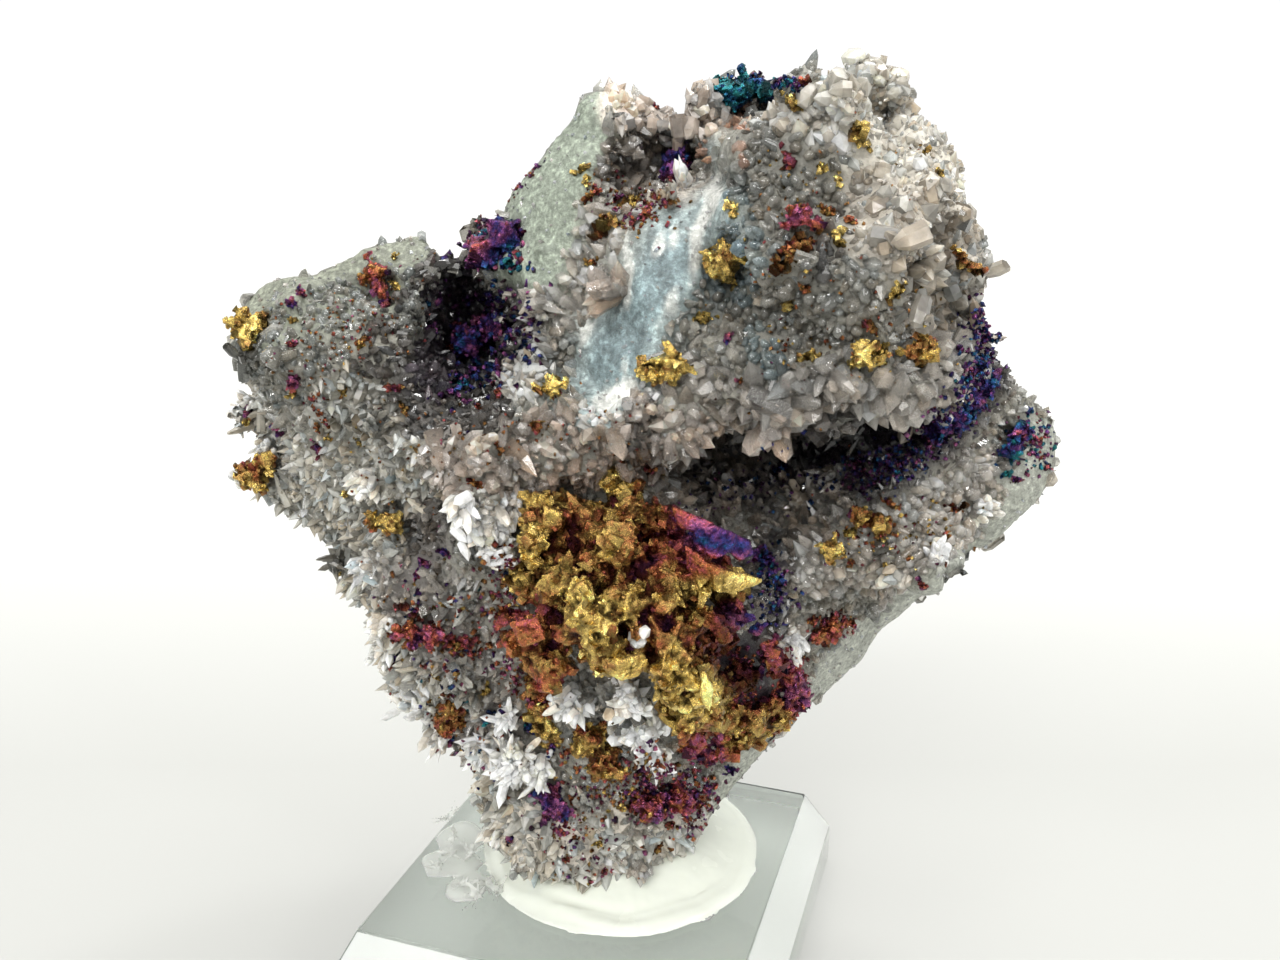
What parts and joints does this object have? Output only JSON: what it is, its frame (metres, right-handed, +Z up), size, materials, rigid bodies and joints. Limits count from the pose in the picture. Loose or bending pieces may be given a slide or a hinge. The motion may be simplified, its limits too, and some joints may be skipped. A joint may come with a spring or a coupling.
{
  "type": "peacock ore",
  "caption": "Upright plate of drusy quartz with iridescent tarnished chalcopyrite, held on its narrow end by clear putty on a bevelled clear display block.",
  "frame": {"origin": "middle of the display block's underside", "axes": "+Z up from the surface the block stands on; -Y the way the crystal-covered face looks; +X to the right as that face is looked at"},
  "size_m": [0.0926, 0.0632, 0.1065],
  "materials": {
    "quartz": "drusy",
    "chalcopyrite_gold": "metallic",
    "chalcopyrite_copper": "metallic",
    "chalcopyrite_violet": "metallic",
    "acrylic": "polished",
    "putty": "clear and tacky"
  },
  "bodies": {
    "root": {"acrylic_base": "acrylic", "mounting_putty": "putty", "quartz_matrix": "quartz", "chalcopyrite_main_cluster": "chalcopyrite_gold", "lower_cluster": "chalcopyrite_gold", "left_tip_crystal": "chalcopyrite_gold", "left_knob": "chalcopyrite_gold", "left_fork": "chalcopyrite_gold", "ridge_lump": "chalcopyrite_gold", "cleavage_lump": "chalcopyrite_gold", "band_lump": "chalcopyrite_gold", "brow_grain_left": "chalcopyrite_gold", "shelf_crystal": "chalcopyrite_gold", "back_upper_cluster": "chalcopyrite_gold", "left_column": "chalcopyrite_copper", "corner_crystal": "chalcopyrite_copper", "left_streak": "chalcopyrite_copper", "upper_left_copper": "chalcopyrite_copper", "red_grains": "chalcopyrite_copper", "brow_grain_right": "chalcopyrite_copper", "shelf_cluster": "chalcopyrite_copper", "lower_right_patch": "chalcopyrite_copper", "back_left_cluster": "chalcopyrite_copper", "lower_right_cluster": "chalcopyrite_violet", "lower_left_knot": "chalcopyrite_violet", "upper_hollow_crystal": "chalcopyrite_violet", "top_crust": "chalcopyrite_violet", "notch_crust": "chalcopyrite_violet", "left_hollow_crust": "chalcopyrite_violet", "right_arm_crust": "chalcopyrite_violet", "right_edge_crust": "chalcopyrite_violet", "back_lower_cluster": "chalcopyrite_violet"}
  },
  "joints": []
}
